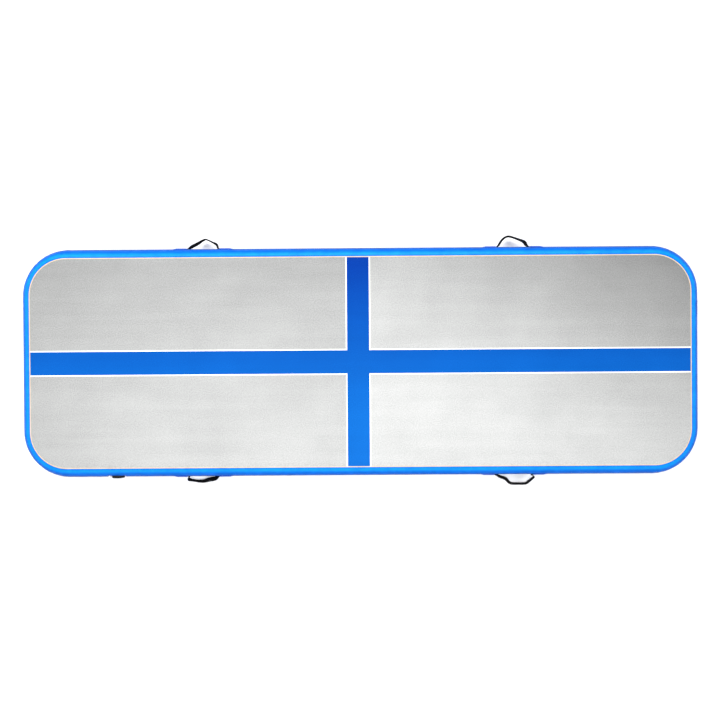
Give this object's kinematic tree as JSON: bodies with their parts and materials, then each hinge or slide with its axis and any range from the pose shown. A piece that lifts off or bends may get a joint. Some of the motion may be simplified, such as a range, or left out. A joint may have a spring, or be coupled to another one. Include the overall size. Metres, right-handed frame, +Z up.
{
  "type": "air track mat",
  "caption": "Inflatable drop-stitch tumbling mat with rounded ends, a striped deck, webbing carry handles on both long sides and an inflation valve.",
  "frame": {"origin": "centre of the underside, at the middle of the mat's length and width", "axes": "+X along the mat, +Y across it to the rear side, +Z up; the valve is on the front side, which faces -Y"},
  "size_m": [2.9905, 1.1132, 0.1],
  "materials": {
    "deck_fabric": "fine speckled anti-slip grain",
    "base_fabric": "plain woven polyester",
    "wall_fabric_white": "coated, satin",
    "wall_fabric_blue": "coated, satin gloss",
    "stripe_blue": "printed, satin",
    "stripe_white": "printed, satin",
    "webbing_black": "woven polypropylene webbing",
    "valve_black": "moulded",
    "button_grey": "moulded",
    "rubber_black": "moulded",
    "seal_red": "moulded",
    "spring_steel": "drawn wire"
  },
  "bodies": {
    "mat": {"top_skin": "deck_fabric", "bottom_skin": "deck_fabric", "top_ply": "base_fabric", "bottom_ply": "base_fabric", "drop_threads": "base_fabric", "inner_wall": "wall_fabric_white", "outer_wall": "wall_fabric_blue", "top_seam_tape": "wall_fabric_blue", "bottom_seam_tape": "wall_fabric_blue", "wall_splice": "wall_fabric_blue", "long_stripe": "stripe_blue", "cross_stripes": "stripe_blue", "pinstripes": "stripe_white", "rear_left_patches": "wall_fabric_blue", "rear_right_patches": "wall_fabric_blue", "front_left_patches": "wall_fabric_blue", "front_right_patches": "wall_fabric_blue", "rear_left_tails": "webbing_black", "rear_right_tails": "webbing_black", "front_left_tails": "webbing_black", "front_right_tails": "webbing_black", "valve_patch": "wall_fabric_blue", "body_gasket": "rubber_black", "valve_body": "valve_black", "backing_nut": "valve_black", "valve_spring": "spring_steel"},
    "rear_left_loop": {"rear_left_handle": "webbing_black"},
    "rear_right_loop": {"rear_right_handle": "webbing_black"},
    "front_left_loop": {"front_left_handle": "webbing_black"},
    "front_right_loop": {"front_right_handle": "webbing_black"},
    "washer": {"spring_washer": "spring_steel"},
    "plunger": {"poppet": "valve_black", "poppet_seal": "seal_red", "push_button": "button_grey"},
    "tether": {"cap_tether": "rubber_black"},
    "cap": {"valve_cap": "valve_black", "cap_seal": "seal_red"}
  },
  "joints": [
    {"name": "rear_left_lift", "type": "hinge", "parent": "mat", "child": "rear_left_loop", "pos_m": [-0.693, 0.51, 0.05], "axis": [1, 0, 0], "range_deg": [-20, 90]},
    {"name": "rear_right_lift", "type": "hinge", "parent": "mat", "child": "rear_right_loop", "pos_m": [0.68, 0.51, 0.05], "axis": [1, 0, 0], "range_deg": [-20, 85]},
    {"name": "front_left_lift", "type": "hinge", "parent": "mat", "child": "front_left_loop", "pos_m": [-0.698, -0.51, 0.05], "axis": [-1, 0, 0], "range_deg": [-12, 110]},
    {"name": "front_right_lift", "type": "hinge", "parent": "mat", "child": "front_right_loop", "pos_m": [0.678, -0.51, 0.05], "axis": [-1, 0, 0], "range_deg": [-20, 92]},
    {"name": "button_press", "type": "slide", "parent": "mat", "child": "washer", "axis": [0, 1, 0], "range_m": [0, 0.006], "stiffness_N_per_m": 400, "springref_m": -0.008, "deforming": ["valve_spring"]},
    {"name": "button_turn", "type": "hinge", "parent": "washer", "child": "plunger", "pos_m": [-1.08, -0.505, 0.05], "axis": [0, 1, 0], "range_deg": [0, 90]},
    {"name": "cap_swing", "type": "hinge", "parent": "mat", "child": "tether", "pos_m": [-1.1135, -0.5029, 0.05], "axis": [0, 0, -1], "range_deg": [0, 110]},
    {"name": "cap_turn", "type": "hinge", "parent": "tether", "child": "cap", "pos_m": [-1.08, -0.505, 0.05], "axis": [0, -1, 0], "range_deg": [0, 90]}
  ]
}
